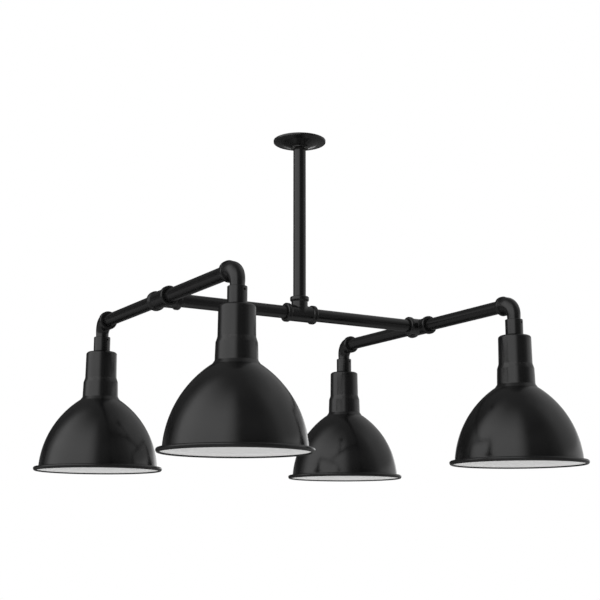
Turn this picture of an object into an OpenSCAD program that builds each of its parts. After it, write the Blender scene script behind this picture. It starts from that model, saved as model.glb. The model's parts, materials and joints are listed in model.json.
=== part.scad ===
// Pool table lamp: four deep-bowl shades on an H-shaped pipe frame, hung from the ceiling by one stem.
// The origin is the centre of the canopy where it meets the ceiling. +X runs along the main pipe,
// +Y to the back and +Z into the ceiling, so the whole lamp lies below z = 0.

/* [Overall] */
// Distance from the ceiling down to the centre line of the horizontal pipes
pipe_drop = 426.5; // [300:0.5:900]
// Distance from the stem to the shade centres, left and right
reach_x = 352.5; // [300:0.5:500]
// Distance from the stem to the shade centres, front and back
reach_y = 351; // [300:0.5:500]
/* [Pipes and fittings] */
// Outer diameter of every pipe
pipe_d = 30.2; // [29.6:0.1:31]
// Bore of every pipe
pipe_bore_d = 25.2; // [23:0.1:26]
// Outer diameter of a tee or elbow between its beads
fitting_d = 38.8; // [37:0.1:40]
// Outer diameter of the beads at the fittings' ends
bead_d = 44.8; // [42:0.1:48]
// Width of a bead
bead_w = 11; // [9:0.5:12]
// Edge rounding of a bead
bead_edge = 3; // [1:0.5:4]
// Distance from a fitting's centre to its end face
fitting_end = 40.5; // [39:0.5:44]
// Depth that a pipe goes into a fitting
grip = 11.5; // [8:0.5:12]
// Centre-line radius of the elbow's bend
bend_r = 28; // [24:0.5:30]
/* [Shade holders] */
// Outer diameter of the collar below each elbow
collar_d = 39.8; // [38:0.1:42]
// Depth of the collar's top below the pipe centre line
collar_top = 36.5; // [34:0.5:38]
// Height of the collar
collar_h = 35; // [33:0.5:38]
// Diameter of the socket housing near its roof
housing_top_d = 74; // [73:0.1:75]
// Diameter of the socket housing at its skirt
housing_skirt_d = 75.6; // [75:0.1:75.8]
// Height of the socket housing, its hidden skirt included
housing_h = 90.5; // [86:0.5:94]
// Direction that the collar's set screw faces, from +X
set_screw_angle = -70; // [-180:5:180]
/* [Shades] */
// Outer diameter of the rolled rim
rim_d = 304.8; // [300:0.1:310]
// Sheet thickness
sheet = 1.2; // [1:0.1:1.5]
// Diameter of the neck where it starts below the cone
neck_top_d = 82.8; // [82.4:0.1:83.4]
// Diameter of the neck where it meets the bowl
neck_bottom_d = 85; // [84.6:0.1:85.4]
// Outer radius of the bowl's curve in section
bowl_r = 210.5; // [210:0.1:211]
// Distance that the centre of that curve lies beyond the shade's axis
bowl_offset = 69.7; // [69:0.1:70]
// Depth of that centre below the pipe centre line
bowl_centre = 365.5; // [365:0.1:366]
// Depth of the rim below the pipe centre line
rim_depth = 361; // [360:0.1:362]
// Radius of the rolled rim's section
roll_r = 3; // [2.5:0.1:3.2]
/* [Canopy] */
// Diameter of the canopy
canopy_d = 126; // [124:0.5:130]
// Depth of the canopy's flat centre below the ceiling
canopy_h = 16; // [15:0.5:17]
// Outer diameter of the lock ring around the stem
ring_d = 42.4; // [41.6:0.1:44]
// Height of the lock ring
ring_h = 5; // [4.5:0.5:6]
// Spacing of the crossbar's slots, as on a standard round ceiling box
box_spacing = 88.9; // [88.9:0.1:88.9]
/* [Bulbs] */
// Diameter of the bulb's globe
bulb_d = 60; // [50:1:64]
// Overall length of the bulb
bulb_len = 108; // [104:1:112]
// Diameter of the bulb's screw base
base_d = 26.2; // [26:0.1:26.4]

/* [Hidden] */
$fn = 96;

// The four corners of the frame
left_back = 0;
left_front = 1;
right_back = 2;
right_front = 3;
side = [-1, -1, 1, 1];
row = [1, -1, 1, -1];

fit = 0.05;
pipe_r = pipe_d / 2;
fitting_bore = pipe_r + fit;
pipe_start = fitting_end - grip;

// Swivel: a ball on the stem's nipple turns in a gimbal ring, and the ring in a cup on the crossbar
pivot_z = -8;
bar_t = 2;
bar_l = 104;
bar_w = 32;
slot_w = 5.2;
slot_l = 9;
ball_r = 10;
ball_top = -2.2;
gimbal_in_r = 10.2;
gimbal_out_r = 13;
gimbal_h = 8;
cup_cavity_r = 13.3;
cup_r = 18.8;
cup_bottom = -19;
cup_flange_r = 28;
cup_flange_t = 2.5;
relief_r = 17.8;
relief_z = -16.4;
gimbal_pin_r = 1.5;
nipple_r = 6.4;
nipple_bore_r = 5.2;
nipple_top = -3.5;
nipple_bottom = -36;
bushing_top = -20.2;
bushing_head = 2;
stem_top = bushing_top - bushing_head;
cup_screw_x = 23;
cup_screw_r = 2;
ground_screw_at = [37, -9];
ground_screw_r = 1.9;
canopy_t = 1;
canopy_edge_r = 1.2;
canopy_flat_r = 21;

elbow_r = pipe_r + 2;
leg_taper = 7;

// Depths below the pipe centre line
collar_bottom = collar_top + collar_h;
leg_end = 52;
housing_roof = 2.5;
housing_wall = 2;
housing_edge = 6.5;
housing_round = 79.8;
housing_end = collar_bottom + housing_h;
hub_r = 20;
nipple_start = 56;
nipple_end = 84;
hub_nipple_r = 13.3;
hub_nipple_bore_r = 10.5;
locknut_t = 5.5;
locknut_r = 18.5;
socket_top = collar_bottom + housing_roof + locknut_t;
socket_flange_t = 8;
socket_flange_r = 29;
socket_r = 21;
socket_end = 134;
socket_screw_r = 2;
socket_screw_x = 24.9;
socket_screw_tip = 73.2;
wire_hole_r = 4;
contact_depth = 99;
shell_len = 26;
shell_r = 14.4;
shell_bore_r = 13.5;
cone_top = 138;
cone_end = 148.5;
neck_end = 184;
ring_end = 157;
neck_hole_r = housing_skirt_d / 2 + 0.15;
flange_angle = 4.5;
bulb_tip = 100.3;
base_len = 25;
glass_t = 0.8;
glass_neck_r = 12.3;

lead_r = 2.2;
lead_gap = 3.5;
lead_turn = 10;
supply_r = 1.5;
supply_x = 3.5;
block_w = 16;
block_d = 13;
block_h = 20;
block_z = 14;
block_screw_r = 1.6;

// Points on an arc about a centre, from angle a0 to a1
function arc(centre, r, a0, a1, steps) =
    [for (i = [0 : steps]) let (a = a0 + (a1 - a0) * i / steps) centre + r * [cos(a), sin(a)]];

module at_corner(c) translate([side[c] * reach_x, row[c] * reach_y, -pipe_drop]) children();
module at_depth(d) translate([0, 0, -d]) children();
module all_corners() for (c = [left_back : right_front]) at_corner(c) children();

// A disc with a rounded rim, standing on z = 0
module rounded_disc(r, h, edge) rotate_extrude() {
    square([r - edge, h]);
    translate([0, edge]) square([r, h - 2 * edge]);
    for (y = [edge, h - edge]) translate([r - edge, y]) circle(edge, $fn = 32);
}

// The beaded end of a fitting, pointing along +Z with its end face at fitting_end
module fitting_end_z() {
    cylinder(r = fitting_d / 2, h = fitting_end - bead_edge);
    translate([0, 0, fitting_end - bead_w]) rounded_disc(bead_d / 2, bead_w, bead_edge);
}

// A tee with its run along X and its branch up
module tee() difference() {
    union() {
        fitting_end_z();
        for (a = [90, -90]) rotate([0, a, 0]) fitting_end_z();
    }
    translate([0, 0, -fit]) cylinder(r = fitting_bore, h = fitting_end + 1);
    rotate([0, 90, 0]) cylinder(r = fitting_bore, h = 2 * fitting_end + 2, center = true);
}

// A pipe along +Z
module pipe(length) difference() {
    cylinder(r = pipe_r, h = length);
    translate([0, 0, -1]) cylinder(d = pipe_bore_d, h = length + 2);
}

// A quarter bend that turns a tube along Y down into a tube along -Z below the origin
module quarter_bend(r, tube_r) translate([0, -r, -r]) rotate([90, 0, 90])
    rotate_extrude(angle = 90) translate([r, 0]) circle(tube_r);

// ---- Ceiling mount ----

module crossbar() color("silver") difference() {
    translate([-bar_l / 2, -bar_w / 2, -bar_t]) cube([bar_l, bar_w, bar_t]);
    translate([0, 0, -bar_t - 1]) cylinder(r = cup_cavity_r - 0.5, h = bar_t + 2);
    for (s = [-1, 1]) {
        translate([s * cup_screw_x, 0, -bar_t - 1]) cylinder(r = cup_screw_r + fit, h = bar_t + 2);
        for (e = [-1, 1]) translate([s * box_spacing / 2 + e * (slot_l - slot_w) / 2, 0, -bar_t - 1])
            cylinder(d = slot_w, h = bar_t + 2);
        translate([s * box_spacing / 2 - (slot_l - slot_w) / 2, -slot_w / 2, -bar_t - 1])
            cube([slot_l - slot_w, slot_w, bar_t + 2]);
    }
    translate([ground_screw_at[0], ground_screw_at[1], -bar_t - 1]) cylinder(r = ground_screw_r + fit, h = bar_t + 2);
}

module swivel_cup() color("dimgray") difference() {
    union() {
        translate([0, 0, -bar_t - cup_flange_t]) cylinder(r = cup_flange_r, h = cup_flange_t);
        translate([0, 0, cup_bottom]) cylinder(r = cup_r, h = -bar_t - cup_flange_t - cup_bottom + 0.1);
    }
    translate([0, 0, pivot_z]) sphere(r = cup_cavity_r);
    translate([0, 0, pivot_z]) cylinder(r = cup_cavity_r - 0.5, h = 10);
    translate([0, 0, cup_bottom - 1]) cylinder(r = relief_r, h = relief_z - cup_bottom + 1);
    translate([0, 0, cup_bottom]) cylinder(r = sqrt(pow(cup_cavity_r, 2) - pow(relief_z - pivot_z, 2)), h = 6);
    translate([0, 0, pivot_z]) rotate([0, 90, 0]) cylinder(r = gimbal_pin_r, h = 2 * cup_r + 2, center = true);
    for (s = [-1, 1]) translate([s * cup_screw_x, 0, -bar_t - cup_flange_t - 1])
        cylinder(r = cup_screw_r + fit, h = cup_flange_t + 2);
}

// A pan-head screw, head down, with its tip at z = 0
module screw_up(r, head_r, head_t, grip_l) {
    translate([0, 0, -grip_l]) cylinder(r = r, h = grip_l - 0.2);
    difference() {
        translate([0, 0, -grip_l - head_t]) cylinder(r = head_r, h = head_t);
        translate([-head_r, -0.5, -grip_l - head_t - 1]) cube([2 * head_r, 1, 1.8]);
    }
}

module cup_screws() color("silver") for (s = [-1, 1]) translate([s * cup_screw_x, 0, 0])
    screw_up(cup_screw_r, 3.8, 2.4, bar_t + cup_flange_t);

module ground_screw() color("green") translate([ground_screw_at[0], ground_screw_at[1], 0]) {
    translate([0, 0, -bar_t]) cylinder(r = ground_screw_r, h = bar_t - 0.2);
    difference() {
        translate([0, 0, -bar_t - 2.8]) cylinder(r = 4.4, h = 2.8, $fn = 6);
        translate([-5, -0.5, -bar_t - 3.6]) cube([10, 1, 1.8]);
    }
}

module gimbal_pins_outer() color("silver") for (s = [-1, 1])
    translate([s * (gimbal_in_r + 0.6), 0, pivot_z]) rotate([0, s * 90, 0]) cylinder(r = gimbal_pin_r, h = 7.2);

module canopy() color("#1c1c1e") rotate_extrude() {
    edge = [canopy_d / 2 - canopy_edge_r, -canopy_edge_r];
    polygon(concat(
        [edge + [-1.2, canopy_edge_r]],
        arc(edge, canopy_edge_r, 90, -70, 8),
        [[canopy_flat_r + 5, -canopy_h + 0.9], [canopy_flat_r, -canopy_h], [cup_r + fit, -canopy_h],
         [cup_r + fit, -canopy_h + canopy_t], [canopy_flat_r, -canopy_h + canopy_t],
         [canopy_flat_r + 5, -canopy_h + 0.9 + canopy_t], edge + [-1.2, -0.4]]));
}

module canopy_lock_ring() color("#1c1c1e") difference() {
    translate([0, 0, -canopy_h - ring_h]) rounded_disc(ring_d / 2, ring_h, 0.8);
    translate([0, 0, -canopy_h - ring_h - 1]) cylinder(r = cup_r + fit, h = ring_h + 2);
}

// ---- Swivel ----

module gimbal_ring() color("silver") difference() {
    intersection() {
        translate([0, 0, pivot_z]) sphere(r = gimbal_out_r);
        translate([0, 0, pivot_z - gimbal_h / 2]) cylinder(r = gimbal_out_r, h = gimbal_h);
    }
    translate([0, 0, pivot_z]) sphere(r = gimbal_in_r);
    for (a = [0, 90]) translate([0, 0, pivot_z]) rotate([0, 90, a])
        cylinder(r = gimbal_pin_r + fit, h = 2 * gimbal_out_r + 2, center = true);
}

module gimbal_pins_inner() color("silver") for (s = [-1, 1])
    translate([0, s * (nipple_r + 1), pivot_z]) rotate([-s * 90, 0, 0]) cylinder(r = gimbal_pin_r, h = 5.3);

module swivel_ball() color("silver") difference() {
    intersection() {
        translate([0, 0, pivot_z]) sphere(r = ball_r);
        translate([0, 0, pivot_z - ball_r]) cylinder(r = ball_r, h = ball_top - pivot_z + ball_r);
    }
    translate([0, 0, pivot_z - ball_r - 1]) cylinder(r = nipple_r, h = 2 * ball_r + 2);
    for (s = [-1, 1]) translate([0, s * (nipple_r + 1), pivot_z]) rotate([-s * 90, 0, 0])
        cylinder(r = gimbal_pin_r, h = ball_r);
}

module swivel_nipple() color("silver") difference() {
    translate([0, 0, nipple_bottom]) cylinder(r = nipple_r, h = nipple_top - nipple_bottom);
    translate([0, 0, nipple_bottom - 1]) cylinder(r = nipple_bore_r, h = nipple_top - nipple_bottom + 2);
}

module stem_bushing() color("#1c1c1e") difference() {
    union() {
        translate([0, 0, stem_top]) cylinder(r1 = pipe_r, r2 = pipe_r - 1, h = bushing_head);
        translate([0, 0, nipple_bottom]) cylinder(d = pipe_bore_d - 2 * fit, h = stem_top - nipple_bottom + 0.1);
    }
    translate([0, 0, nipple_bottom - 1]) cylinder(r = nipple_r, h = 30);
}

// ---- Pipe frame ----

module stem() color("#1c1c1e") translate([0, 0, -pipe_drop + pipe_start])
    pipe(pipe_drop - pipe_start + stem_top);

module centre_tee() color("#1c1c1e") translate([0, 0, -pipe_drop]) tee();

module main_pipe(s) color("#1c1c1e") translate([s * pipe_start, 0, -pipe_drop]) rotate([0, s * 90, 0])
    pipe(reach_x - 2 * pipe_start);

module end_tee(s) color("#1c1c1e") translate([s * reach_x, 0, -pipe_drop])
    rotate([0, 0, s > 0 ? 180 : 0]) rotate([90, 0, 90]) tee();

module arm(c) color("#1c1c1e") translate([side[c] * reach_x, row[c] * pipe_start, -pipe_drop])
    rotate([-row[c] * 90, 0, 0]) pipe(reach_y - 2 * pipe_start);

// A street elbow: a beaded end that takes the arm, and a plain leg down into the collar
module elbow(c) color("#1c1c1e") at_corner(c) rotate([0, 0, row[c] > 0 ? 0 : 180]) difference() {
    union() {
        translate([0, -bend_r, 0]) rotate([90, 0, 0]) {
            cylinder(r = elbow_r, h = fitting_end - bend_r - bead_edge);
            translate([0, 0, fitting_end - bead_w - bend_r]) rounded_disc(bead_d / 2, bead_w, bead_edge);
        }
        quarter_bend(bend_r, elbow_r);
        at_depth(bend_r + leg_taper) cylinder(r1 = pipe_r, r2 = elbow_r, h = leg_taper);
        at_depth(leg_end) cylinder(r = pipe_r, h = leg_end - bend_r - leg_taper);
    }
    translate([0, -pipe_start, 0]) rotate([90, 0, 0]) cylinder(r = fitting_bore, h = grip + 1);
    translate([0, -bend_r, 0]) rotate([90, 0, 0]) cylinder(d = pipe_bore_d, h = pipe_start - bend_r);
    quarter_bend(bend_r, pipe_bore_d / 2);
    at_depth(leg_end + 1) cylinder(d = pipe_bore_d, h = leg_end + 1 - bend_r);
}

// ---- Shade holders ----

module collar(c) color("#1c1c1e") at_corner(c) difference() {
    at_depth(collar_bottom) {
        cylinder(r1 = collar_d / 2 - 0.8, r2 = collar_d / 2, h = 0.8);
        translate([0, 0, 0.8]) cylinder(d = collar_d, h = collar_h - 1.6);
        translate([0, 0, collar_h - 0.8]) cylinder(r1 = collar_d / 2, r2 = collar_d / 2 - 0.8, h = 0.8);
    }
    at_depth(leg_end + 1) cylinder(r = fitting_bore, h = leg_end);
    at_depth(collar_bottom + 1) cylinder(r = hub_nipple_r + fit, h = collar_h);
    set_screw_axis() cylinder(r = 2.6, h = collar_d);
}

// The line that a collar's set screw lies on, pointing out from the leg it presses on
module set_screw_axis() at_depth(collar_top + 7.5) rotate([0, 90, set_screw_angle])
    translate([0, 0, fitting_bore]) children();

module collar_set_screws() color("#101012") all_corners() set_screw_axis() difference() {
    cylinder(r = 2.5, h = 4);
    translate([0, 0, 1.8]) cylinder(r = 1.45, h = 4, $fn = 6);
}

// Half of a housing's section: roof, round shoulder and skirt
module housing_section() {
    shoulder = [housing_top_d / 2 - housing_edge, -housing_round];
    skirt_in_r = housing_skirt_d / 2 - housing_wall;
    polygon(concat(
        [[hub_nipple_r + fit, -collar_bottom], [hub_r, -collar_bottom]],
        arc(shoulder, housing_edge, 80, 0, 10),
        [[housing_skirt_d / 2, -cone_top], [housing_skirt_d / 2, -housing_end], [skirt_in_r, -housing_end],
         [skirt_in_r, -cone_top]],
        arc(shoulder, housing_edge - housing_wall, 0, 80, 6),
        [[hub_r, -collar_bottom - housing_roof], [hub_nipple_r + fit, -collar_bottom - housing_roof]]));
}

module housing(c) color("#1c1c1e") at_corner(c) difference() {
    rotate_extrude() housing_section();
    for (s = [-1, 1]) translate([s * socket_screw_x, 0, -socket_top])
        cylinder(r = socket_screw_r, h = socket_top - socket_screw_tip);
}

module housing_nipples() color("silver") all_corners() difference() {
    at_depth(nipple_end - 2) cylinder(r = hub_nipple_r, h = nipple_end - 2 - nipple_start);
    at_depth(nipple_end) cylinder(r = hub_nipple_bore_r, h = 40);
}

module housing_locknuts() color("silver") all_corners() at_depth(collar_bottom + housing_roof + locknut_t)
    difference() {
        cylinder(r = locknut_r, h = locknut_t, $fn = 6);
        translate([0, 0, -1]) cylinder(r = hub_nipple_r + fit, h = locknut_t + 2);
    }

// ---- Sockets ----

module socket(c) color("white") at_corner(c) difference() {
    union() {
        at_depth(socket_top + socket_flange_t) cylinder(r = socket_flange_r, h = socket_flange_t);
        at_depth(socket_end) cylinder(r = socket_r, h = socket_end - socket_top - 1);
    }
    at_depth(nipple_end) cylinder(r = hub_nipple_r + 1, h = 20);
    at_depth(contact_depth) cylinder(r = wire_hole_r, h = 30);
    at_depth(socket_end + 1) cylinder(r = shell_r, h = socket_end + 1 - contact_depth);
    for (s = [-1, 1]) translate([s * socket_screw_x, 0, -socket_top - socket_flange_t - 1])
        cylinder(r = socket_screw_r + fit, h = socket_flange_t + 4);
}

module socket_screws() color("silver") all_corners() for (s = [-1, 1])
    translate([s * socket_screw_x, 0, -socket_screw_tip]) screw_up(socket_screw_r, 3.8, 2.4,
        socket_top + socket_flange_t - socket_screw_tip);

module socket_shells() color("goldenrod") all_corners() at_depth(contact_depth + 2 + shell_len) difference() {
    cylinder(r = shell_r - fit, h = shell_len);
    translate([0, 0, -1]) cylinder(r = shell_bore_r, h = shell_len + 2);
}

module socket_contacts() color("goldenrod") all_corners() at_depth(contact_depth + 1) cylinder(r = 9, h = 1);

// ---- Shades ----

// Half of a shade's section: cone, neck, bowl, flared flange and rolled rim
module shade_section() {
    r_neck = neck_top_d / 2;
    r_foot = neck_bottom_d / 2;
    bowl = [-bowl_offset, -bowl_centre];
    roll = [rim_d / 2 - roll_r, -rim_depth + roll_r];
    a_top = acos((r_foot + 0.9 + bowl_offset) / bowl_r);
    a_top_in = acos((r_foot - 0.2 + bowl_offset) / bowl_r);
    polygon(concat(
        [[neck_hole_r, -cone_top], [neck_hole_r + 0.3, -cone_top], [r_neck, -cone_end], [r_foot, -neck_end]],
        arc(bowl, bowl_r, a_top, flange_angle, 32),
        arc(roll, roll_r, 62, -245, 20),
        arc(bowl, bowl_r - sheet, flange_angle - 0.35, a_top_in, 32),
        [[r_foot - sheet, -neck_end - 0.4], [r_neck - sheet, -cone_end - 0.5], [neck_hole_r, -cone_top - 3.6]]));
}

module shade(c) color("#1c1c1e") at_corner(c) rotate_extrude($fn = 180) shade_section();

// The threaded ring inside each neck that holds the shade up against its cone
module shade_rings() color("silver") all_corners() rotate_extrude()
    polygon([[neck_hole_r - 0.1, -cone_top - 3.6], [neck_top_d / 2 - sheet - 0.1, -cone_end - 0.5],
        [neck_top_d / 2 - sheet - 0.1, -ring_end], [neck_hole_r - 0.1, -ring_end]]);

// ---- Wiring ----

module lamp_leads() color("#2a2a2c") for (c = [left_back : right_front]) lamp_lead(c);

// One lead from the terminal block in the centre tee, along the main pipe and arm, and down to the socket
module lamp_lead(c) translate([0, 0, -pipe_drop]) mirrored_to(c) {
    translate([lead_gap, lead_gap, lead_turn]) cylinder(r = lead_r, h = block_z - lead_turn);
    translate([lead_gap, lead_gap, 0]) translate([lead_turn, 0, lead_turn]) rotate([90, 0, 0])
        rotate([0, 0, 180]) rotate_extrude(angle = 90) translate([lead_turn, 0]) circle(lead_r, $fn = 24);
    translate([lead_gap + lead_turn, lead_gap, 0]) rotate([0, 90, 0])
        cylinder(r = lead_r, h = reach_x - lead_gap - 2 * lead_turn);
    translate([reach_x - lead_turn, lead_gap + lead_turn, 0]) rotate([0, 0, -90])
        rotate_extrude(angle = 90) translate([lead_turn, 0]) circle(lead_r, $fn = 24);
    translate([reach_x, lead_gap + lead_turn, 0]) rotate([-90, 0, 0])
        cylinder(r = lead_r, h = reach_y - bend_r - lead_gap - lead_turn);
    translate([reach_x, reach_y, 0]) {
        quarter_bend(bend_r, lead_r);
        at_depth(contact_depth - 2) cylinder(r = lead_r, h = contact_depth - 2 - bend_r);
    }
}

// Turns or mirrors the right-back corner's wiring into corner c
module mirrored_to(c) mirror([side[c] > 0 ? 0 : 1, 0, 0]) mirror([0, row[c] > 0 ? 0 : 1, 0]) children();

// The block in the centre tee that joins the four lamp leads to the two supply conductors
module terminal_block() color("#d8d4c8") translate([0, 0, -pipe_drop + block_z]) difference() {
    translate([-block_w / 2, -block_d / 2, 0]) cube([block_w, block_d, block_h]);
    for (x = [-supply_x, supply_x]) for (z = [5, block_h - 5]) translate([x, -block_d / 2 - 1, z])
        rotate([-90, 0, 0]) cylinder(r = block_screw_r, h = 4);
}

// The supply conductors, from the terminal block up the stem and out through the swivel nipple
module stem_leads() color("#d8d8d0") for (s = [-1, 1]) translate([s * supply_x, 0, -pipe_drop + block_z + block_h])
    cylinder(r = supply_r, h = pipe_drop - block_z - block_h + nipple_top);

// ---- Bulbs ----

// Outline of half a bulb's globe and neck, drawn smaller by inset, from its tip up to its base
function glass_outline(inset) = let (
        globe = [0, -bulb_tip - bulb_len + bulb_d / 2],
        neck_z = -bulb_tip - base_len + 3
    ) concat(arc(globe, bulb_d / 2 - inset, -90, 28, 24),
             [[glass_neck_r + 2.4 - inset, neck_z - 17], [glass_neck_r - inset, neck_z - 4],
              [glass_neck_r - inset, neck_z]]);

function reversed(list) = [for (i = [len(list) - 1 : -1 : 0]) list[i]];

module bulb_glass(c) color("ivory") at_corner(c) rotate_extrude()
    polygon(concat(glass_outline(0), reversed(glass_outline(glass_t))));

module bulb_base(c) color("goldenrod") at_corner(c) difference() {
    union() {
        at_depth(bulb_tip + 3) cylinder(r1 = 9, r2 = 4.8, h = 3);
        at_depth(bulb_tip + base_len) cylinder(d = base_d, h = base_len - 3);
    }
    at_depth(bulb_tip + base_len + 1) cylinder(r = glass_neck_r + fit, h = base_len - 4);
}

crossbar();
swivel_cup();
cup_screws();
ground_screw();
gimbal_pins_outer();
canopy();
canopy_lock_ring();
gimbal_ring();
gimbal_pins_inner();
swivel_ball();
swivel_nipple();
stem_bushing();
stem();
centre_tee();
main_pipe(-1);  // main_pipe_left
main_pipe(1);  // main_pipe_right
end_tee(-1);  // end_tee_left
end_tee(1);  // end_tee_right
arm(left_back);  // arm_left_back
arm(left_front);  // arm_left_front
arm(right_back);  // arm_right_back
arm(right_front);  // arm_right_front
elbow(left_back);  // elbow_left_back
elbow(left_front);  // elbow_left_front
elbow(right_back);  // elbow_right_back
elbow(right_front);  // elbow_right_front
collar(left_back);  // collar_left_back
collar(left_front);  // collar_left_front
collar(right_back);  // collar_right_back
collar(right_front);  // collar_right_front
housing(left_back);  // housing_left_back
housing(left_front);  // housing_left_front
housing(right_back);  // housing_right_back
housing(right_front);  // housing_right_front
shade(left_back);  // shade_left_back
shade(left_front);  // shade_left_front
shade(right_back);  // shade_right_back
shade(right_front);  // shade_right_front
socket(left_back);  // socket_left_back
socket(left_front);  // socket_left_front
socket(right_back);  // socket_right_back
socket(right_front);  // socket_right_front
collar_set_screws();
housing_nipples();
housing_locknuts();
socket_screws();
socket_shells();
socket_contacts();
shade_rings();
lamp_leads();
stem_leads();
terminal_block();
bulb_glass(left_back);  // bulb_glass_left_back
bulb_glass(left_front);  // bulb_glass_left_front
bulb_glass(right_back);  // bulb_glass_right_back
bulb_glass(right_front);  // bulb_glass_right_front
bulb_base(left_back);  // bulb_base_left_back
bulb_base(left_front);  // bulb_base_left_front
bulb_base(right_back);  // bulb_base_right_back
bulb_base(right_front);  // bulb_base_right_front
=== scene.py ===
"""Visual model of the pool table lamp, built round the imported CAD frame. Lengths below are in millimetres
until MM turns them into metres, and heights are measured from the horizontal pipes' centre line or from the
ceiling."""
import json
import math

import bpy
import numpy as np
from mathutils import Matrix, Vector


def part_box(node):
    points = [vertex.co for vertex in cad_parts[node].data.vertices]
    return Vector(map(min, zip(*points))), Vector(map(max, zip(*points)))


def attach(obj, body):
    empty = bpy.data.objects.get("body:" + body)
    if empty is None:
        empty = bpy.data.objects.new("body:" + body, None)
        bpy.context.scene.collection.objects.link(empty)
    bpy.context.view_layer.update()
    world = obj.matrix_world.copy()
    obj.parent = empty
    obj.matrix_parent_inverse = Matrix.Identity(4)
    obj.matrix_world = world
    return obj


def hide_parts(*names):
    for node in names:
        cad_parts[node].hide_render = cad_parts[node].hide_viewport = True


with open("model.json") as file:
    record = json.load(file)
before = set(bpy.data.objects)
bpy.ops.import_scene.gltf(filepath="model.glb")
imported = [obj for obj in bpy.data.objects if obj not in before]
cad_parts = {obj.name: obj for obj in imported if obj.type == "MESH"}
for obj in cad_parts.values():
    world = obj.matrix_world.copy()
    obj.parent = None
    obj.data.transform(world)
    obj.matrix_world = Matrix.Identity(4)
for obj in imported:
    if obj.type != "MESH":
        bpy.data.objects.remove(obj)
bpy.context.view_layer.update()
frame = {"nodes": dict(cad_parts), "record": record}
record = frame["record"]
nodes = frame["nodes"]

MM = 0.001
CORNERS = {"left_back": (-1, 1), "left_front": (-1, -1), "right_back": (1, 1), "right_front": (1, -1)}


# ---- The frame's own sizes ----

def middle(node):
    low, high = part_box(node)
    return (low + high) / 2 / MM


def size(node):
    low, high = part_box(node)
    return (high - low) / MM


pipe_z = middle("main_pipe_left").z
pipe_r = size("stem").x / 2
canopy_r = size("canopy").x / 2
canopy_h = size("canopy").z
ring_r = size("canopy_lock_ring").x / 2
ring_h = size("canopy_lock_ring").z
fitting_end = size("centre_tee").x / 2
bead_r = size("centre_tee").y / 2
corner_at = {c: Vector((middle(f"shade_{c}").x, middle(f"shade_{c}").y, pipe_z)) for c in CORNERS}
rim_r = size("shade_left_front").x / 2
rim_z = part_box("shade_left_front")[0].z / MM - pipe_z


# ---- Materials ----

class Shader:
    """A principled material whose colour, roughness and bump come from nodes in object coordinates."""

    def __init__(self, name, **values):
        self.material = bpy.data.materials.new(name)
        self.material.use_nodes = True
        self.tree = self.material.node_tree
        self.surface = self.tree.nodes["Principled BSDF"]
        self.coords = self.tree.nodes.new("ShaderNodeTexCoord").outputs["Object"]
        for socket, value in values.items():
            self.surface.inputs[socket.replace("_", " ")].default_value = value

    def node(self, kind, inputs=None, **settings):
        made = self.tree.nodes.new(kind)
        for key, value in settings.items():
            setattr(made, key, value)
        for key, value in (inputs or {}).items():
            if isinstance(value, bpy.types.NodeSocket):
                self.tree.links.new(value, made.inputs[key])
            else:
                made.inputs[key].default_value = value
        return made

    def noise(self, scale, detail=2.0, roughness=0.5, stretch=(1, 1, 1)):
        mapped = self.node("ShaderNodeMapping", {"Vector": self.coords, "Scale": stretch}).outputs[0]
        return self.node("ShaderNodeTexNoise", {"Vector": mapped, "Scale": scale, "Detail": detail,
                                                "Roughness": roughness}).outputs["Fac"]

    def spots(self, scale):
        return self.node("ShaderNodeTexVoronoi", {"Vector": self.coords, "Scale": scale}).outputs["Distance"]

    def ranged(self, value, low, high, to_low, to_high):
        return self.node("ShaderNodeMapRange", {"Value": value, "From Min": low, "From Max": high,
                                                "To Min": to_low, "To Max": to_high}).outputs[0]

    def math(self, operation, a, b):
        return self.node("ShaderNodeMath", {0: a, 1: b}, operation=operation).outputs[0]

    def mix(self, factor, a, b):
        made = self.tree.nodes.new("ShaderNodeMix")
        made.data_type = "RGBA"
        for socket, value in zip((made.inputs[0], made.inputs[6], made.inputs[7]), (factor, a, b)):
            if isinstance(value, bpy.types.NodeSocket):
                self.tree.links.new(value, socket)
            else:
                socket.default_value = value
        return made.outputs[2]

    def attribute(self, name):
        return self.node("ShaderNodeAttribute", attribute_name=name).outputs["Fac"]

    def bump(self, height, distance, strength=1.0, below=None):
        made = self.node("ShaderNodeBump", {"Height": height, "Distance": distance, "Strength": strength})
        if below is not None:
            self.tree.links.new(below, made.inputs["Normal"])
        return made.outputs[0]

    def finish(self, colour=None, roughness=None, normal=None):
        for socket, value in (("Base Color", colour), ("Roughness", roughness), ("Normal", normal)):
            if value is not None:
                self.tree.links.new(value, self.surface.inputs[socket])
        return self.material


def grey(value, tint=(1, 1, 1)):
    return tuple(value * t for t in tint) + (1.0,)


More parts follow.
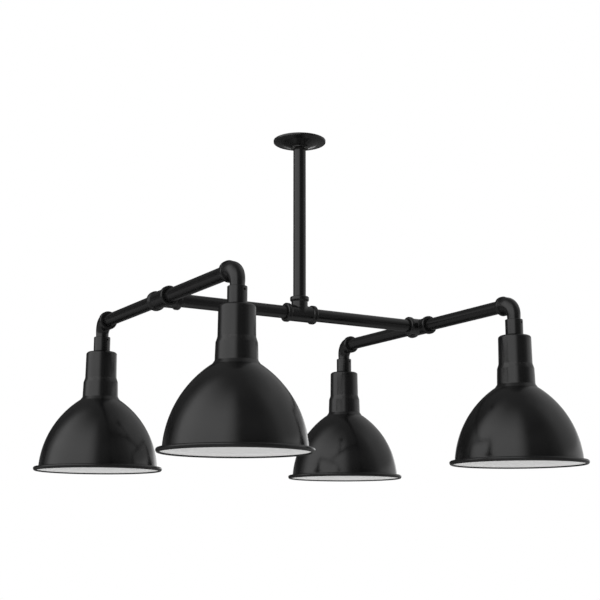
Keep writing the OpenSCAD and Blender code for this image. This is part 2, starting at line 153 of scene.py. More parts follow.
def black_powder_coat(name, base, rough, cast):
    """Satin black powder coat: a fine orange peel over steel, or over the coarser skin of an iron casting, with
    a painted highlight that lightens its crests.
    """
    s = Shader(name, Specular_IOR_Level=0.5, IOR=1.5)
    cloud = s.noise(9, 3)
    speck = s.noise(900, 2)
    # painted highlight: crests and rounded outer edges are lightened in colour, broken up by noise, as a
    # painted sheen, and are also made a little glossier
    crest_sheen = s.math("MULTIPLY", s.attribute("edge"), s.ranged(s.noise(160, 4), 0.42, 0.66, 0, 1))
    dust = s.mix(s.ranged(cloud, 0.3, 0.7, 0, 1), grey(base), grey(base * 1.35, (1, 1, 1.02)))
    colour = s.mix(s.ranged(speck, 0.62, 0.75, 0, 0.35), dust, grey(base * 2.2))
    colour = s.mix(s.math("MULTIPLY", crest_sheen, 0.5), colour, grey(0.035, (1, 0.99, 0.97)))
    smear = s.ranged(s.noise(38, 3, 0.6), 0.3, 0.7, rough - 0.035, rough + 0.045)
    roughness = s.math("ADD", smear, s.math("MULTIPLY", crest_sheen, -0.08))
    normal = s.bump(s.noise(620, 2), 0.00004 if not cast else 0.00007)
    if cast:
        normal = s.bump(s.noise(170, 3, 0.6), 0.00011, below=normal)
    return s.finish(colour, roughness, normal)


def enamel_white():
    """Smooth white enamel inside the shades, a little warmer and duller where the coat is thin."""
    s = Shader("enamel_white", Specular_IOR_Level=0.2)
    cloud = s.ranged(s.noise(14, 3), 0.3, 0.7, 0, 1)
    colour = s.mix(cloud, grey(0.86), grey(0.845, (1, 0.998, 0.99)))
    roughness = s.ranged(s.noise(55, 3), 0.3, 0.7, 0.56, 0.64)
    return s.finish(colour, roughness, s.bump(s.noise(420, 2), 0.00003))


def plated_steel(name, colour_a, colour_b, rough, metallic=1.0, grain=(1, 1, 1)):
    s = Shader(name, Metallic=metallic)
    stain = s.ranged(s.noise(60, 4, 0.6), 0.32, 0.7, 0, 1)
    colour = s.mix(stain, colour_a, colour_b)
    scratch = s.noise(700, 3, 0.6, grain)
    roughness = s.ranged(scratch, 0.3, 0.7, rough - 0.07, rough + 0.1)
    return s.finish(colour, roughness, s.bump(scratch, 0.00003))


def dull_plastic(name, colour_a, colour_b, rough):
    s = Shader(name)
    colour = s.mix(s.ranged(s.noise(35, 3), 0.3, 0.7, 0, 1), colour_a, colour_b)
    roughness = s.ranged(s.noise(240, 3), 0.3, 0.7, rough - 0.05, rough + 0.08)
    return s.finish(colour, roughness, s.bump(s.noise(900, 2), 0.00003))


def porcelain():
    s = Shader("porcelain", Coat_Weight=0.6, Coat_Roughness=0.08)
    colour = s.mix(s.ranged(s.noise(20, 2), 0.35, 0.65, 0, 1), grey(0.84, (1, 0.985, 0.94)),
                   grey(0.78, (1, 0.98, 0.92)))
    pits = s.ranged(s.spots(260), 0.0, 0.12, 1, 0)
    colour = s.mix(s.math("MULTIPLY", pits, 0.35), colour, grey(0.5, (1, 0.93, 0.82)))
    return s.finish(colour, s.ranged(s.noise(90, 2), 0.3, 0.7, 0.22, 0.34), s.bump(s.noise(130, 3), 0.00006))


def frosted_glass():
    s = Shader("frosted_glass", Transmission_Weight=0.35, IOR=1.5, Subsurface_Weight=0.0)
    colour = s.mix(s.ranged(s.noise(40, 3), 0.3, 0.7, 0, 1), grey(0.93, (1, 0.995, 0.98)),
                   grey(0.89, (1, 0.99, 0.965)))
    roughness = s.ranged(s.noise(120, 3), 0.3, 0.7, 0.34, 0.46)
    return s.finish(colour, roughness, s.bump(s.noise(1100, 2), 0.00002))


BLACK = black_powder_coat("black_powder_coat", 0.006, 0.19, False)
CAST = black_powder_coat("black_powder_coat_cast", 0.006, 0.21, True)
WHITE = enamel_white()
ZINC = plated_steel("zinc_plated_steel", grey(0.6, (1, 1, 0.98)), grey(0.47, (1, 0.99, 0.94)), 0.32, 1.0,
                    (1, 1, 0.15))
OXIDE = plated_steel("black_oxide_steel", grey(0.02), grey(0.035, (1, 0.98, 0.95)), 0.4, 0.6)
GREEN = plated_steel("green_screw", (0.02, 0.17, 0.05, 1), (0.03, 0.22, 0.07, 1), 0.38, 0.2)
PORCELAIN = porcelain()
BRASS = plated_steel("socket_brass", (0.72, 0.52, 0.22, 1), (0.55, 0.37, 0.14, 1), 0.3)
BASE_BRASS = plated_steel("bulb_base_brass", (0.78, 0.6, 0.3, 1), (0.63, 0.46, 0.22, 1), 0.27)
GLASS = frosted_glass()
BLACK_WIRE = dull_plastic("black_insulation", grey(0.02), grey(0.03), 0.5)
WHITE_WIRE = dull_plastic("white_insulation", grey(0.74), grey(0.66, (1, 0.99, 0.95)), 0.46)
NYLON = dull_plastic("terminal_nylon", grey(0.68, (1, 0.95, 0.85)), grey(0.6, (1, 0.94, 0.82)), 0.42)
INSULATOR = dull_plastic("base_insulator", grey(0.02, (1, 0.9, 1.1)), grey(0.03), 0.3)


# ---- Mesh tools ----

def rounded(points, steps=5):
    """A polyline through (r, z, radius) corners, each rounded by an arc of its radius."""
    out = []
    for i, (x, y, radius) in enumerate(points):
        here = np.array((x, y), float)
        if radius <= 0 or i in (0, len(points) - 1):
            out.append((x, y))
            continue
        before, after = (np.array(points[j][:2], float) for j in (i - 1, i + 1))
        a, b = before - here, after - here
        la, lb = np.linalg.norm(a), np.linalg.norm(b)
        a, b = a / la, b / lb
        angle = math.acos(max(-1, min(1, float(a @ b))))
        reach = min(radius / math.tan(angle / 2), 0.49 * la, 0.49 * lb)
        radius = reach * math.tan(angle / 2)
        centre = here + (a + b) / np.linalg.norm(a + b) * (radius / math.sin(angle / 2))
        p, q = here + a * reach - centre, here + b * reach - centre
        start = math.atan2(p[1], p[0])
        turn = (math.atan2(q[1], q[0]) - start + math.pi) % (2 * math.pi) - math.pi
        for k in range(steps + 1):
            t = start + turn * k / steps
            out.append((centre[0] + radius * math.cos(t), centre[1] + radius * math.sin(t)))
    return out


def arc(centre, radius, start, end, steps):
    """Points on an arc from start to end, in degrees."""
    angles = [math.radians(start + (end - start) * i / steps) for i in range(steps + 1)]
    return [(centre[0] + radius * math.cos(a), centre[1] + radius * math.sin(a)) for a in angles]


def edge_mark(mesh):
    """A vertex attribute that is 1 on crests and rounded outer edges and 0 on flat and hollow faces."""
    count = len(mesh.vertices)
    co = np.empty(count * 3)
    mesh.vertices.foreach_get("co", co)
    co = co.reshape(-1, 3)
    normal = np.empty(count * 3)
    mesh.vertices.foreach_get("normal", normal)
    normal = normal.reshape(-1, 3)
    edges = np.empty(len(mesh.edges) * 2, int)
    mesh.edges.foreach_get("vertices", edges)
    a, b = edges.reshape(-1, 2).T
    along = co[b] - co[a]
    length = np.maximum(np.linalg.norm(along, axis=1), 1e-9)
    bend = ((normal[b] - normal[a]) * along).sum(1) / length ** 2
    top = np.zeros(count)
    np.maximum.at(top, a, bend)
    np.maximum.at(top, b, bend)
    mark = mesh.attributes.new("edge", "FLOAT", "POINT")
    mark.data.foreach_set("value", np.clip((top - 120) / 500, 0, 1).astype(np.float32))


def build(name, verts, faces, materials, slots=None, sharp=38, offset=(0, 0, 0)):
    """A smooth-shaded mesh object from vertices in millimetres."""
    mesh = bpy.data.meshes.new(name)
    at = np.array(offset, float)
    mesh.from_pydata([tuple((np.array(v, float) + at) * MM) for v in verts], [], faces)
    for m in materials:
        mesh.materials.append(m)
    if slots is not None:
        mesh.polygons.foreach_set("material_index", slots)
    mesh.polygons.foreach_set("use_smooth", [True] * len(mesh.polygons))
    mesh.update()
    mesh.set_sharp_from_angle(angle=math.radians(sharp))
    edge_mark(mesh)
    made = bpy.data.objects.new(name, mesh)
    bpy.context.scene.collection.objects.link(made)
    return made


def ring_mesh(rings, closed, slot_of=None):
    """Faces that join rings of equal length; closed also joins the last ring to the first."""
    n = len(rings[0])
    verts = [p for ring in rings for p in ring]
    faces, slots = [], []
    for i in range(len(rings) if closed else len(rings) - 1):
        j = (i + 1) % len(rings)
        for k in range(n):
            m = (k + 1) % n
            faces.append((i * n + k, i * n + m, j * n + m, j * n + k))
            slots.append(slot_of(i) if slot_of else 0)
    return verts, faces, slots


def lathe(name, outline, materials, at=(0, 0, 0), segments=128, slot_of=None, turn=None, sharp=38):
    """Turns a closed outline of (r, z) points about the vertical axis through at; turn then maps each point."""
    turn = turn or (lambda p: p)
    angles = [2 * math.pi * k / segments for k in range(segments)]
    rings = [[turn((r * math.cos(a), r * math.sin(a), z)) for a in angles] for r, z in outline]
    verts, faces, slots = ring_mesh(rings, True, slot_of)
    # an outline runs clockwise or anticlockwise; faces point outward either way
    area = sum(p[0] * q[1] - q[0] * p[1] for p, q in zip(outline, outline[1:] + outline[:1]))
    if area < 0:
        faces = [f[::-1] for f in faces]
    return build(name, verts, faces, materials, slots, sharp, at)


def place(piece, body, slot, *replaced):
    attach(piece, body)
    if replaced:
        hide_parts(*replaced)
    return piece


def surface_net(field, low, high, step):
    """A mesh of the zero surface of a signed distance field, its vertices drawn onto the surface."""
    axes = [np.arange(low[i], high[i] + step, step) for i in range(3)]
    grid = np.stack(np.meshgrid(*axes, indexing="ij"), -1)
    value = field(grid.reshape(-1, 3)).reshape(grid.shape[:3])
    inside = value < 0
    cells = np.zeros([n - 1 for n in value.shape], int)
    corners = [(i, j, k) for i in (0, 1) for j in (0, 1) for k in (0, 1)]
    for i, j, k in corners:
        cells += inside[i:i + cells.shape[0], j:j + cells.shape[1], k:k + cells.shape[2]]
    index = np.argwhere((cells > 0) & (cells < 8))
    total, weight = np.zeros((len(index), 3)), np.zeros(len(index))
    pairs = [(a, b) for a in corners for b in corners
             if sum(b) - sum(a) == 1 and all(y >= x for x, y in zip(a, b))]
    for a, b in pairs:
        ia, ib = index + a, index + b
        va, vb = value[tuple(ia.T)], value[tuple(ib.T)]
        cross = (va < 0) != (vb < 0)
        t = np.where(cross, va / np.where(cross, va - vb, 1), 0)
        point = ia + (ib - ia) * t[:, None]
        total[cross] += point[cross]
        weight[cross] += 1
    verts = np.array(low) + total / weight[:, None] * step
    for _ in range(4):
        d = field(verts)
        e = step * 0.05
        slope = np.stack([(field(verts + e * np.eye(3)[i]) - field(verts - e * np.eye(3)[i])) / (2 * e)
                          for i in range(3)], -1)
        verts = verts - slope * (d / np.maximum((slope ** 2).sum(1), 0.2))[:, None] * 0.8
    number = -np.ones(cells.shape, int)
    number[tuple(index.T)] = np.arange(len(index))
    faces = []
    for axis in range(3):
        u, v = (axis + 1) % 3, (axis + 2) % 3
        end = tuple(slice(0, value.shape[i] - (1 if i == axis else 0)) for i in range(3))
        after = tuple(slice(1 if i == axis else 0, value.shape[i]) for i in range(3))
        edge = np.argwhere(inside[end] != inside[after])
        edge = edge[(edge[:, u] > 0) & (edge[:, v] > 0) & (edge[:, u] < value.shape[u] - 1)
                    & (edge[:, v] < value.shape[v] - 1)]
        du, dv = np.eye(3, dtype=int)[u], np.eye(3, dtype=int)[v]
        quad = np.stack([number[tuple((edge - o).T)] for o in (du + dv, dv, 0 * du, du)], 1)
        flip = ~inside[tuple(edge.T)]
        quad[flip] = quad[flip][:, ::-1]
        faces.append(quad)
    return verts, np.concatenate(faces)


def smooth_min(a, b, k):
    h = np.clip(0.5 + 0.5 * (b - a) / k, 0, 1)
    return b + (a - b) * h - k * h * (1 - h)


def smooth_max(a, b, k):
    return -smooth_min(-a, -b, k)


def disc_field(axial, radial, radius, start, end, edge):
    """Distance to a disc with a rounded edge, from start to end along its axis."""
    q = np.stack([np.abs(axial - (start + end) / 2) - (end - start) / 2 + edge, radial - radius + edge], -1)
    return np.linalg.norm(np.maximum(q, 0), axis=-1) + np.minimum(q.max(-1), 0) - edge


# ---- Pipe and fittings ----

BODY_R = 19.4
BEAD_W = 11
PIPE_END = fitting_end - 11.5
BORE_R = pipe_r + 0.05
PIPE_BORE_R = 12.6


def pipe(name, start, end):
    """A pipe between two points, with broken edges at its ends."""
    start, end = Vector(start), Vector(end)
    length = (end - start).length
    turn = (end - start).to_track_quat("Z", "Y").to_matrix()
    outline = rounded([(PIPE_BORE_R, 0, 0), (pipe_r, 0, 0.5), (pipe_r, length, 0.5), (PIPE_BORE_R, length, 0),
                       (PIPE_BORE_R, 0, 0)], 3)[:-1]
    lengths = np.linspace(4, length - 4, 9)
    split = next(i for i in range(1, len(outline)) if outline[i][1] - outline[i - 1][1] > length * 0.9)
    outline[split:split] = [(pipe_r, z) for z in lengths]
    piece = lathe(name, outline, [BLACK], start, 96, turn=lambda p: tuple(turn @ Vector(p)))
    return place(piece, "lamp_frame", "black_powder_coat", name)


def tee_mesh():
    """One cast tee, its run along X and its branch up, about its own centre."""
    def field(p):
        x, y, z = p.T
        run, branch = np.hypot(y, z), np.hypot(x, y)
        end = fitting_end - 2.5
        along_x = smooth_max(run - BODY_R, np.abs(x) - end, 1)
        along_z = smooth_max(branch - BODY_R, np.maximum(z - end, -z), 1)
        solid = smooth_min(along_x, along_z, 1.4)
        beads = np.minimum(disc_field(np.abs(x), run, bead_r, fitting_end - BEAD_W, fitting_end, 2.8),
                           disc_field(z, branch, bead_r, fitting_end - BEAD_W, fitting_end, 2.8))
        solid = smooth_min(solid, beads, 1.3)
        bore = np.minimum(run - BORE_R, np.maximum(branch - BORE_R, -z))
        return smooth_max(solid, -bore, 1.0)
    reach = fitting_end + 2.4
    return surface_net(field, (-reach, -bead_r - 2.4, -bead_r - 2.4), (reach, bead_r + 2.4, reach), 1.2)


TEE_VERTS, TEE_FACES = tee_mesh()


def tee(name, centre, axes):
    """axes are the directions that the tee's own X, Y and Z point in."""
    turned = TEE_VERTS @ np.array(axes, float)
    piece = build(name, turned, TEE_FACES.tolist(), [CAST], None, 80, centre)
    return place(piece, "lamp_frame", "black_powder_coat", name)


BEND_R = 28
BEND_L = BEND_R * math.pi / 2
LEG_L = 24
TAPER_L = 8
BORE_DEPTH = 14
ELBOW_SIDES = 80


def elbow_path(s):
    """Point and direction at s along a street elbow's centre line; s is 0 at its beaded end."""
    straight = fitting_end - BEND_R
    if s <= straight:
        return (-fitting_end + s, 0), (1, 0)
    if s <= straight + BEND_L:
        a = (s - straight) / BEND_R
        return (-BEND_R + BEND_R * math.sin(a), -BEND_R + BEND_R * math.cos(a)), (math.cos(a), -math.sin(a))
    return (0, -BEND_R - (s - straight - BEND_L)), (0, -1)


def elbow(corner):
    """A street elbow: rounded bead, smooth taper through the bend, and a plain leg into the collar."""
    total = fitting_end - BEND_R + BEND_L + LEG_L
    taper_end = fitting_end - BEND_R + BEND_L + TAPER_L
    outline = rounded([(BORE_DEPTH, BORE_R, 0), (0, BORE_R, 0.8), (0, bead_r, 2.8), (BEAD_W, bead_r, 2.8),
                       (BEAD_W, BODY_R + 0.1, 1.0), (BEAD_W + 3, BODY_R, 0)], 6)
    for i in range(1, 41):
        t = i / 40
        s = BEAD_W + 3 + (taper_end - BEAD_W - 3) * t
        blend = t * t * (3 - 2 * t)
        outline.append((s, BODY_R + (pipe_r - BODY_R) * blend))
    outline += [(total - 0.6, pipe_r), (total, pipe_r - 0.6), (total, PIPE_BORE_R)]
    outline += [(total - (total - BORE_DEPTH) * i / 24, PIPE_BORE_R) for i in range(1, 25)]
    row = CORNERS[corner][1]
    rings = []
    for s, r in outline:
        (along, up), (da, du) = elbow_path(max(s, 0))
        along += min(s, 0)
        ring = []
        for k in range(ELBOW_SIDES):
            a = 2 * math.pi * k / ELBOW_SIDES
            across, out = r * math.cos(a), r * math.sin(a)
            # out is measured across the path in its own plane
            ring.append((across * row, row * (along - du * out), up + da * out))
        rings.append(ring)
    verts, faces, slots = ring_mesh(rings, True)
    faces = [f[::-1] for f in faces]
    piece = build(f"elbow_{corner}", verts, faces, [CAST], slots, 38, corner_at[corner])
    return place(piece, "lamp_frame", "black_powder_coat", f"elbow_{corner}")


stem_low, stem_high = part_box("stem")
pipe("stem", (0, 0, stem_low.z / MM), (0, 0, stem_high.z / MM))
tee("centre_tee", (0, 0, pipe_z), ((1, 0, 0), (0, 1, 0), (0, 0, 1)))
for side, word in ((-1, "left"), (1, "right")):
    x = side * abs(corner_at["left_front"].x)
    pipe(f"main_pipe_{word}", (side * PIPE_END, 0, pipe_z), (x - side * PIPE_END, 0, pipe_z))
    # the run lies along Y and the branch points back to the stem
    tee(f"end_tee_{word}", (x, 0, pipe_z), ((0, 1, 0), (0, 0, 1) if side < 0 else (0, 0, -1), (-side, 0, 0)))
for corner, (_, row) in CORNERS.items():
    at = corner_at[corner]
    pipe(f"arm_{corner}", (at.x, row * PIPE_END, pipe_z), (at.x, at.y - row * PIPE_END, pipe_z))
    elbow(corner)


# ---- Collars, housings and shades ----

COLLAR_TOP = 36.5
SET_SCREW_ANGLE = -70
SET_SCREW_DROP = 7.5
SET_SCREW_SIDES = 24


def housing(corner):
    outline = [(13.4, -74.0), (13.4, -71.5), (20.5, -71.5)]
    outline += arc((30.5, -79.8), 6.5, 82, 0, 14)
    outline += [(37.15, -95), (37.45, -115), (37.8, -138), (37.8, -161.6), (37.4, -162), (36.0, -162),
                (35.8, -161.6), (35.8, -138), (35.2, -100)]
    outline += arc((30.5, -79.8), 4.5, 0, 82, 10)
    outline += [(20.5, -74.0)]
    piece = lathe(f"housing_{corner}", outline, [BLACK], corner_at[corner], 160)
    return place(piece, "lamp_frame", "black_powder_coat", f"housing_{corner}")


ROLL_R = 4.2
ROLL_ABOVE = 3.6
ROLL_BELOW = 5.8


def rim_roll(start, end, steps):
    """Points round the rolled rim's section, which is widest above its middle."""
    unit = arc((0, 0), 1, start, end, steps)
    return [(rim_r - ROLL_R + ROLL_R * x, rim_z + ROLL_BELOW + (ROLL_ABOVE if y > 0 else ROLL_BELOW) * y)
            for x, y in unit]


def shade_outline():
    """The outside down to the rolled rim and the white inside back up, and the index where white begins."""
    bowl = (-69.7, -365.5)
    out = [(37.87, -137.8)]
    out += rounded([(37.95, -137.7, 0), (41.4, -148.5, 5), (42.1, -168, 0)], 5)
    out += rounded([(42.1, -168, 0), (42.5, -183.5, 4), (48.5, -192.3, 0)], 8)[1:]
    out += [p for p in arc(bowl, 210.5, 56.5, 3.9, 56) if p[0] > 48.9]
    out += [(140.6, -352.1), (141.5, -352.7), (144.5, -352.5)] + rim_roll(110, -153, 30)
    inner = len(out) - 1
    out += rim_roll(-159, -184, 4) + [(143.2, -353.9), (141.1, -354.1), (139.9, -353.9)]
    out += [p for p in arc(bowl, 209.3, 3.6, 57.4, 56) if p[0] > 42.8]
    out += [(41.5, -184.2), (41.2, -176), (40.3, -149.2), (37.95, -141.7)]
    return out, inner


SHADE, SHADE_INSIDE = shade_outline()


def shade(corner):
    piece = lathe(f"shade_{corner}", SHADE, [BLACK, WHITE], corner_at[corner], 192,
                  slot_of=lambda i: 1 if SHADE_INSIDE <= i < len(SHADE) - 1 else 0, sharp=50)
    return place(piece, "lamp_frame", "shade_black_white", f"shade_{corner}")


def set_screws():
    """A socket set screw in each collar: cup with a chamfered rim and a hexagon recess."""
    angle = math.radians(SET_SCREW_ANGLE)
    out = Vector((math.cos(angle), math.sin(angle), 0))
    across = Vector((-math.sin(angle), math.cos(angle), 0))
    # each ring's radius, height along the screw, and whether it is a hexagon
    section = ((2.5, 0, False), (2.5, 2.3, False), (2.3, 2.5, False), (1.75, 2.5, False), (1.5, 2.35, True),
               (1.45, 0.9, True))
    sixth, twelfth = math.radians(60), math.radians(30)
    verts, faces = [], []
    for corner in CORNERS:
        base = corner_at[corner] + Vector((0, 0, -COLLAR_TOP - SET_SCREW_DROP)) + out * BORE_R
        rings = []
        for r, h, hexagon in section:
            ring = []
            for k in range(SET_SCREW_SIDES):
                a = 2 * math.pi * k / SET_SCREW_SIDES
                reach = r
                if hexagon:
                    reach = r * math.cos(twelfth) / math.cos((a % sixth) - twelfth)
                up = Vector((0, 0, reach * math.sin(a)))
                ring.append(tuple(base + across * reach * math.cos(a) + up + out * h))
            rings.append(ring)
        v, f, _ = ring_mesh(rings, False)
        first = len(verts)
        n = SET_SCREW_SIDES
        verts += v
        faces += [tuple(first + i for i in face) for face in f]
        faces.append(tuple(first + k for k in range(n))[::-1])
        faces.append(tuple(first + (len(rings) - 1) * n + k for k in range(n)))
    piece = build("collar_set_screws", verts, faces, [OXIDE], None, 35)
    return place(piece, "lamp_frame", "black_oxide_steel", "collar_set_screws")


for corner in CORNERS:
    housing(corner)
    shade(corner)
set_screws()


# ---- Canopy ----

def canopy():
    h = canopy_h
    outline = [(19.0, -h + 1), (19.0, -h + 0.15), (19.2, -h), (21.5, -h)]
    outline += rounded([(21.5, -h, 0), (24, -h + 0.8, 5), (44, -7.4, 20), (60.6, -4.1, 2), (61.4, -4.9, 0.5),
                        (canopy_r, -4.9, 0.9), (canopy_r, 0, 0)], 7)[1:]
    outline += [(canopy_r - 1, 0), (canopy_r - 1, -3.2), (44, -6.3), (24, -h + 1.9), (21.5, -h + 1)]
    piece = lathe("canopy", outline, [BLACK], (0, 0, 0), 192)
    return place(piece, "ceiling_mount", "black_powder_coat", "canopy")


def lock_ring():
    h = canopy_h
    outline = rounded([(18.9, -h, 0), (ring_r, -h, 0.5), (ring_r, -h - ring_h + 1.1, 0.9),
                       (18.9, -h - ring_h + 0.6, 0.6), (18.9, -h, 0)], 5)[:-1]
    piece = lathe("canopy_lock_ring", outline, [BLACK], (0, 0, 0), 128)
    return place(piece, "ceiling_mount", "black_powder_coat", "canopy_lock_ring")


canopy()
lock_ring()


# ---- Sockets and bulbs ----

THREAD_PITCH = 3.62


def thread(down, depth, angle):
    """Radius change of a rolled screw thread at a distance down from its top and an angle."""
    phase = down / THREAD_PITCH - angle / (2 * math.pi)
    return depth * 0.5 * (1 + math.cos(2 * math.pi * phase)) - depth


def screw_sleeve(name, outer, inner, z_top, z_bottom, depth, material, at, fade_length=1.5, segments=72):
    """A thin sleeve whose wall is rolled into a screw thread of that depth."""
    steps = int((z_top - z_bottom) / (THREAD_PITCH / 9))
    rings = []
    for base, order in ((outer, range(steps + 1)), (inner, range(steps, -1, -1))):
        for i in order:
            z = z_top - (z_top - z_bottom) * i / steps
            fade = min(1, (z_top - z) / fade_length, (z - z_bottom) / fade_length)
            ring = []
            for k in range(segments):
                a = 2 * math.pi * k / segments
                r = base + thread(z_top - z, depth, a) * fade
                ring.append((r * math.cos(a), r * math.sin(a), z))
            rings.append(ring)
    verts, faces, slots = ring_mesh(rings, True)
    return build(name, verts, [f[::-1] for f in faces], [material], slots, 60, at)


def socket(corner):
    outline = rounded([(14.35, -79.5, 0), (29, -79.5, 1.5), (29, -87.5, 2.2), (21, -87.5, 2.5),
                       (21, -134, 1.6), (14.45, -134, 0.8), (14.45, -99, 0.5), (4, -99, 0.5), (4, -84, 0.4),
                       (14.35, -84, 0.4), (14.35, -79.5, 0)], 5)[:-1]
    piece = lathe(f"socket_{corner}", outline, [PORCELAIN], corner_at[corner], 96)
    return place(piece, "lamp_frame", "porcelain", f"socket_{corner}")


def socket_shells():
    parts = [screw_sleeve(f"shell_{c}", 14.3, 13.85, -101, -127, 0.32, BRASS, corner_at[c]) for c in CORNERS]
    with bpy.context.temp_override(active_object=parts[0], selected_editable_objects=parts, object=parts[0]):
        bpy.ops.object.join()
    parts[0].name = "socket_shells"
    return place(parts[0], "lamp_frame", "socket_brass", "socket_shells")


BULB_TIP = -100.3
BULB_L = 108
GLOBE_R = 30
GLASS_T = 0.8
ON_AXIS = 0.02


def bulb(corner):
    at, body = corner_at[corner], f"bulb_{corner}"
    tip = BULB_TIP
    bottom = tip - BULB_L
    outside = [(ON_AXIS, bottom)] + arc((0, bottom + GLOBE_R), GLOBE_R, -88, 24, 40)
    outside += rounded([(outside[-1][0], outside[-1][1], 0), (16.2, bottom + 60, 14), (12.9, tip - 32, 8),
                        (12.25, tip - 22, 0)], 8)[1:]
    inside = [(max(r - GLASS_T, ON_AXIS), z + (GLASS_T if i < 3 else 0))
              for i, (r, z) in enumerate(outside)][::-1]
    piece = lathe(f"bulb_glass_{corner}", outside + inside, [GLASS], at, 96)
    place(piece, body, "frosted_glass", f"bulb_glass_{corner}")
    base = screw_sleeve(f"bulb_base_{corner}", 13.05, 12.6, tip - 4.6, tip - 24.8, 0.45, BASE_BRASS, at, 1.8)
    cap = lathe(f"bulb_base_cap_{corner}", rounded(
        [(12.9, tip - 5.4, 0), (12.6, tip - 4.2, 1), (9.2, tip - 2.6, 0.8), (5.2, tip - 1.6, 0.5),
         (5.0, tip - 0.9, 0), (ON_AXIS, tip - 0.9, 0), (ON_AXIS, tip - 5.6, 0), (12.2, tip - 5.6, 0)], 4),
        [INSULATOR], at, 64)
    eye = lathe(f"bulb_base_eye_{corner}", rounded(
        [(4.7, tip - 1.5, 0), (4.6, tip - 0.5, 0.6), (2.0, tip, 1.2), (ON_AXIS, tip, 0),
         (ON_AXIS, tip - 1.5, 0)], 4), [ZINC], at, 48)
    place(base, body, "bulb_base_brass", f"bulb_base_{corner}")
    place(cap, body, "bulb_base_brass")
    place(eye, body, "bulb_base_brass")


for corner in CORNERS:
    socket(corner)
    bulb(corner)
socket_shells()


# ---- Finishes for the CAD nodes that stay ----

KEPT = {
    ZINC: ["crossbar", "swivel_cup", "cup_screws", "gimbal_pins_outer", "gimbal_ring", "gimbal_pins_inner",
           "swivel_ball", "swivel_nipple", "housing_nipples", "housing_locknuts", "socket_screws",
           "shade_rings"],
    GREEN: ["ground_screw"],
    BLACK: ["stem_bushing"] + [f"collar_{c}" for c in CORNERS],
    BRASS: ["socket_contacts"],
    BLACK_WIRE: ["lamp_leads"],
    WHITE_WIRE: ["stem_leads"],
    NYLON: ["terminal_block"]}
for material, names in KEPT.items():
    for name in names:
        node = nodes[name]
        if not node.material_slots:
            node.data.materials.append(material)
        for material_slot in node.material_slots:
            material_slot.material = material


# ---- Studio ----

def floor():
    """A wide plain pale floor, gently dished up at its edge."""
    rings = []
    for r, z in [(0.01, 0), (1, 0), (2, 0), (4, 0), (8, 0), (11, 0.02), (13, 0.12), (14, 0.3)]:
        rings.append([(r * math.cos(math.radians(5 * k)) / MM, r * math.sin(math.radians(5 * k)) / MM, z / MM)
                      for k in range(72)])
    verts, faces, slots = ring_mesh(rings, False)
    s = Shader("floor", Specular_IOR_Level=0.2)
    colour = s.mix(s.ranged(s.noise(1.5, 2), 0.3, 0.7, 0, 1), grey(0.86), grey(0.84))
    s.surface.inputs["Emission Color"].default_value = grey(1)
    s.surface.inputs["Emission Strength"].default_value = 0.42
    material = s.finish(colour, s.ranged(s.noise(6, 2), 0.3, 0.7, 0.75, 0.85))
    made = build("floor", verts, faces, [material], slots, 60, (0, 0, -2600))
    made.visible_glossy = False


def studio_light():
    """A pale studio: a broad soft source at the left, a narrower one at the right, dark gaps between them."""
    world = bpy.data.worlds.new("studio")
    bpy.context.scene.world = world
    world.use_nodes = True
    tree = world.node_tree
    tree.nodes.clear()
    new, link = tree.nodes.new, tree.links.new
    direction = new("ShaderNodeTexCoord").outputs["Generated"]

    def dot(vector):
        made = new("ShaderNodeVectorMath")
        made.operation = "DOT_PRODUCT"
        link(direction, made.inputs[0])
        made.inputs[1].default_value = vector
        return made.outputs["Value"]

    def calc(operation, a, b=None):
        made = new("ShaderNodeMath")
        made.operation = operation
        for i, value in enumerate((a, b)):
            if isinstance(value, bpy.types.NodeSocket):
                link(value, made.inputs[i])
            elif value is not None:
                made.inputs[i].default_value = value
        return made.outputs[0]

    def ramp(value, stops):
        made = new("ShaderNodeValToRGB")
        link(value, made.inputs[0])
        made.color_ramp.interpolation = "EASE"
        elements = made.color_ramp.elements
        while len(elements) > 1:
            elements.remove(elements[-1])
        for i, (position, level) in enumerate(stops):
            element = elements[0] if i == 0 else elements.new(position)
            element.position = position
            element.color = (level, level, level, 1)
        return made.outputs[0]

    front, right = (-0.5143, -0.8576, 0), (0.8576, -0.5143, 0)
    # the azimuth runs from -180 to 180 degrees, 0 in front and positive to the right
    azimuth = calc("ARCTAN2", dot(right), dot(front))
    share = calc("ADD", calc("DIVIDE", azimuth, 2 * math.pi), 0.5)
    height = calc("ADD", calc("DIVIDE", calc("ARCSINE", dot((0, 0, 1))), math.pi), 0.5)
    level = DARK
    for around, high in SOURCES:
        across = ramp(share, [((a + 180) / 360, value / 2) for a, value in around])
        up = ramp(height, [((e + 90) / 180, value) for e, value in high])
        level = calc("ADD", calc("MULTIPLY", calc("MULTIPLY", across, 2.0), up), level)
    lit = new("ShaderNodeBackground")
    link(level, lit.inputs["Strength"])
    seen = new("ShaderNodeBackground")
    seen.inputs["Color"].default_value = (1, 1, 1, 1)
    mix = new("ShaderNodeMixShader")
    link(new("ShaderNodeLightPath").outputs["Is Camera Ray"], mix.inputs[0])
    link(lit.outputs[0], mix.inputs[1])
    link(seen.outputs[0], mix.inputs[2])
    link(mix.outputs[0], new("ShaderNodeOutputWorld").inputs["Surface"])


DARK = 0.04
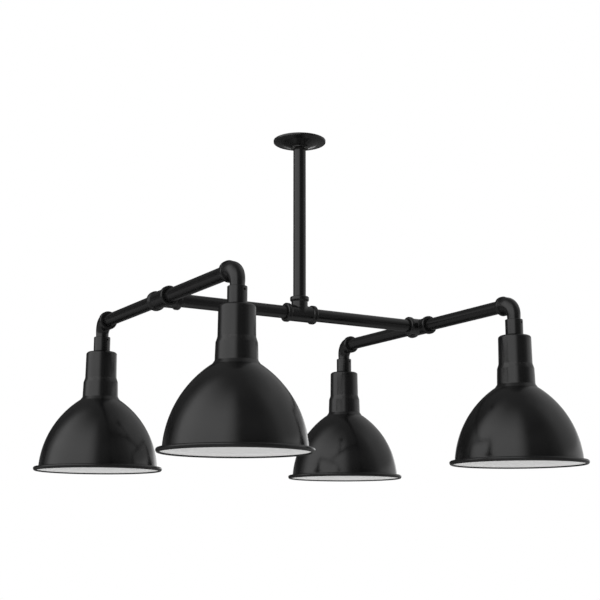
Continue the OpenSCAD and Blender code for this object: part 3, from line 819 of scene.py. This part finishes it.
# the light round the lamp, each as its brightness round the azimuth and its share at each height
SOURCES = [
    # the broad one at the left
    ([(-122, 0), (-112, 0.3), (-94, 1.5), (-82, 1.7), (-14, 1.68), (-3, 1.15), (5, 0.42), (11, 0.04),
      (17, 0)],
     [(-4, 0), (2, 1), (28, 1), (42, 0.9), (53, 0.66), (62, 0.4), (72, 0.12), (80, 0)]),
    # the narrower one at the right
    ([(50, 0), (66, 0.14), (78, 0.46), (88, 0.58), (120, 0.56), (150, 0.44), (168, 0.36), (178, 0)],
     [(-4, 0), (3, 1), (46, 1), (56, 0.7), (68, 0.3), (80, 0)]),
    # a brighter foot to it
    ([(74, 0), (92, 0.4), (120, 0.5), (160, 0.3), (172, 0)], [(-2, 0), (2, 1), (11, 1), (14.5, 0)]),
    # the ceiling
    ([(-180, 0.2), (180, 0.2)], [(12, 0), (35, 0.35), (60, 0.8), (75, 1), (90, 1)]),
    # the gap in front
    ([(4, 0), (18, 0.09), (62, 0.09), (76, 0)], [(-6, 0), (0, 1), (30, 1), (50, 0)]),
    # the bright strip low down behind
    ([(-180, 0.6), (-170, 0.25), (-158, 0.1), (-112, 0), (146, 0), (160, 1.0), (172, 1.4), (180, 0.6)],
     [(-1, 0), (2, 1), (8, 1), (12, 0)]),
    # the ground, brightest at the front left
    ([(-180, 0.12), (-165, 0.03), (-148, 0.04), (-114, 0.25), (-80, 0.42), (-10, 0.4), (20, 0.26), (44, 0.17),
      (66, 0.22), (95, 0.34), (145, 0.26), (180, 0.12)],
     [(-62, 1), (-5, 1), (0, 0)]),
    ([(-180, 0.28), (180, 0.28)], [(-70, 1), (-45, 0)])]


def camera():
    data = bpy.data.cameras.new("camera")
    data.lens, data.sensor_width = 72.28, 36
    data.clip_start, data.clip_end = 0.05, 100
    made = bpy.data.objects.new("camera", data)
    made.location = (-1.4345, -2.3918, -0.9523)
    made.rotation_euler = (math.radians(90 + 11.329), 0, math.radians(-30.975))
    bpy.context.scene.collection.objects.link(made)
    bpy.context.scene.camera = made


floor()
studio_light()
camera()
bpy.context.scene.view_settings.view_transform = "Standard"
